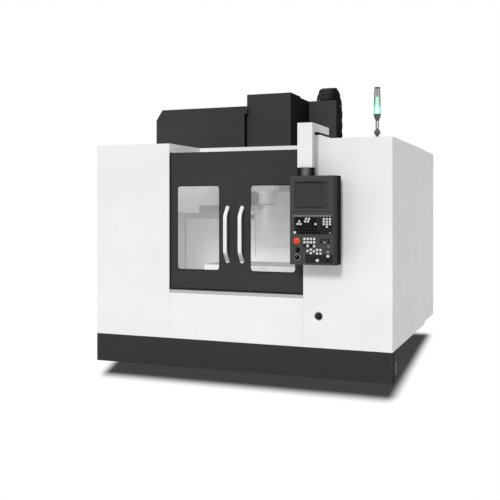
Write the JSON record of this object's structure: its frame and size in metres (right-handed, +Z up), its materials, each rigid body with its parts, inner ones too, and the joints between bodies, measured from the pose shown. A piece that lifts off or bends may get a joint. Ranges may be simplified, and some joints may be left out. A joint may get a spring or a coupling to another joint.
{
  "type": "cnc machining center",
  "caption": "Enclosed vertical machining centre with sliding doors, moving table, spindle head, tool magazine, swivelling operator pendant and signal lamp.",
  "frame": {"origin": "middle of the footprint on the floor", "axes": "+X along the front to the right as the operator sees it, +Y from the front to the back, +Z up"},
  "size_m": [3.026, 2.794, 2.9319],
  "materials": {
    "white_paint": "satin powder coat",
    "inner_paint": "satin",
    "charcoal_paint": "satin powder coat",
    "casting_paint": "painted",
    "bare_table": "ground",
    "steel": "ground",
    "chrome": "polished",
    "black_plastic": "matte",
    "handle_white": "gloss",
    "window_glass": "clear",
    "screen_glass": "dark",
    "key_plastic": "matte",
    "motor_black": "satin",
    "red_plastic": "gloss",
    "lamp_plastic": "translucent",
    "grey_metal": "satin",
    "track_steel": "brushed"
  },
  "bodies": {
    "root": {"bed_casting": "casting_paint", "levelling_feet": "steel", "column_casting": "casting_paint", "guide_rails": "steel", "axis_motors": "motor_black", "base_skirt": "charcoal_paint", "skirt_fittings": "black_plastic", "front_left_panel": "white_paint", "front_right_panel": "white_paint", "front_lower_panel": "white_paint", "side_panels": "white_paint", "rear_panels": "white_paint", "cabinet_equipment": "black_plastic", "z_way_cover": "steel", "door_track": "track_steel", "door_header": "steel", "roof_panel": "white_paint", "chamber_liner": "inner_paint", "chip_tray": "inner_paint", "magazine_cover": "charcoal_paint", "magazine_bracket": "casting_paint", "magazine_guard": "inner_paint", "carrier_cover": "charcoal_paint", "cable_carrier": "black_plastic", "electrical_cabinet": "white_paint", "coolant_tank": "grey_metal", "pendant_arm": "white_paint", "lamp_base": "grey_metal", "air_coupling": "chrome"},
    "left_door": {"left_door": "charcoal_paint", "left_window": "window_glass", "left_handle": "handle_white"},
    "right_door": {"right_door": "charcoal_paint", "right_window": "window_glass", "right_handle": "handle_white"},
    "saddle": {"saddle": "casting_paint", "cross_motor": "motor_black"},
    "table": {"table": "bare_table"},
    "head": {"spindle_head": "casting_paint", "spindle_cartridge": "steel", "head_cover": "charcoal_paint", "spindle_motor": "motor_black", "carrier_arm": "grey_metal"},
    "spindle": {"spindle": "chrome"},
    "x_screw": {"x_screw": "steel"},
    "y_screw": {"y_screw": "steel"},
    "z_screw": {"z_screw": "steel"},
    "magazine_disc": {"magazine_disc": "grey_metal"},
    "change_shaft": {"change_shaft": "steel"},
    "change_arm": {"change_arm": "steel"},
    "pendant": {"pendant_housing": "charcoal_paint", "pendant_screen": "screen_glass", "pendant_keys": "key_plastic"},
    "stop_button": {"stop_button": "red_plastic"},
    "mode_selector": {"mode_selector": "black_plastic"},
    "feed_dial": {"feed_dial": "black_plastic"},
    "lamp": {"lamp_pole": "grey_metal", "lamp_lens": "lamp_plastic"},
    "cabinet_door": {"cabinet_door": "white_paint"},
    "isolator": {"isolator_handle": "black_plastic"}
  },
  "joints": [
    {"name": "left_door_slide", "type": "slide", "parent": "root", "child": "left_door", "axis": [-1, 0, 0], "range_m": [0, 0.52]},
    {"name": "right_door_slide", "type": "slide", "parent": "root", "child": "right_door", "axis": [1, 0, 0], "range_m": [0, 0.52]},
    {"name": "y_feed", "type": "slide", "parent": "root", "child": "saddle", "axis": [0, 1, 0], "range_m": [-0.265, 0.265]},
    {"name": "x_feed", "type": "slide", "parent": "saddle", "child": "table", "axis": [1, 0, 0], "range_m": [-0.51, 0.51]},
    {"name": "z_feed", "type": "slide", "parent": "root", "child": "head", "axis": [0, 0, 1], "range_m": [-0.54, 0], "deforming": ["cable_carrier", "z_way_cover"]},
    {"name": "spindle_turn", "type": "hinge", "parent": "head", "child": "spindle", "pos_m": [0, -0.214, 1.7], "axis": [0, 0, 1], "continuous": true},
    {"name": "x_screw_turn", "type": "hinge", "parent": "saddle", "child": "x_screw", "pos_m": [0, -0.214, 0.856], "axis": [1, 0, 0], "range_deg": [-11600, 11600]},
    {"name": "y_screw_turn", "type": "hinge", "parent": "root", "child": "y_screw", "pos_m": [0, -0.228, 0.56], "axis": [0, 1, 0], "range_deg": [-6000, 6000]},
    {"name": "z_screw_turn", "type": "hinge", "parent": "root", "child": "z_screw", "pos_m": [0, 0.346, 1.8], "axis": [0, 0, 1], "range_deg": [-12200, 100]},
    {"name": "magazine_turn", "type": "hinge", "parent": "root", "child": "magazine_disc", "pos_m": [-0.6, 0.232, 2.235], "axis": [0, 1, 0], "continuous": true},
    {"name": "change_drop", "type": "slide", "parent": "root", "child": "change_shaft", "axis": [0, 0, -1], "range_m": [0, 0.11]},
    {"name": "change_swing", "type": "hinge", "parent": "change_shaft", "child": "change_arm", "pos_m": [-0.3, -0.046, 1.565], "axis": [0, 0, 1], "range_deg": [0, 240.75]},
    {"name": "pendant_swivel", "type": "hinge", "parent": "root", "child": "pendant", "pos_m": [0.769, -1.291, 1.9], "axis": [0, 0, 1], "range_deg": [-90, 10]},
    {"name": "stop_push", "type": "slide", "parent": "pendant", "child": "stop_button", "axis": [0, 1, 0], "range_m": [0, 0.005], "stiffness_N_per_m": 400, "springref_m": -0.002},
    {"name": "mode_turn", "type": "hinge", "parent": "pendant", "child": "mode_selector", "pos_m": [0.714, -1.371, 1.193], "axis": [0, 1, 0], "range_deg": [-60, 60]},
    {"name": "feed_turn", "type": "hinge", "parent": "pendant", "child": "feed_dial", "pos_m": [0.71, -1.371, 1.128], "axis": [0, 1, 0], "range_deg": [-135, 135]},
    {"name": "lamp_fold", "type": "hinge", "parent": "root", "child": "lamp", "pos_m": [1.36, -1.048, 2.247], "axis": [-1, 0, 0], "range_deg": [0, 90]},
    {"name": "cabinet_door_swing", "type": "hinge", "parent": "root", "child": "cabinet_door", "pos_m": [1.512, 1.359, 1.25], "axis": [0, 0, -1], "range_deg": [0, 110]},
    {"name": "isolator_turn", "type": "hinge", "parent": "cabinet_door", "child": "isolator", "pos_m": [0.96, 1.359, 1.5], "axis": [0, 1, 0], "range_deg": [0, 90]}
  ],
  "couplings": [
    {"joint": "x_screw_turn", "follows": "x_feed", "rad_per_m": 392.7},
    {"joint": "y_screw_turn", "follows": "y_feed", "rad_per_m": 392.7},
    {"joint": "z_screw_turn", "follows": "z_feed", "rad_per_m": 392.7}
  ]
}
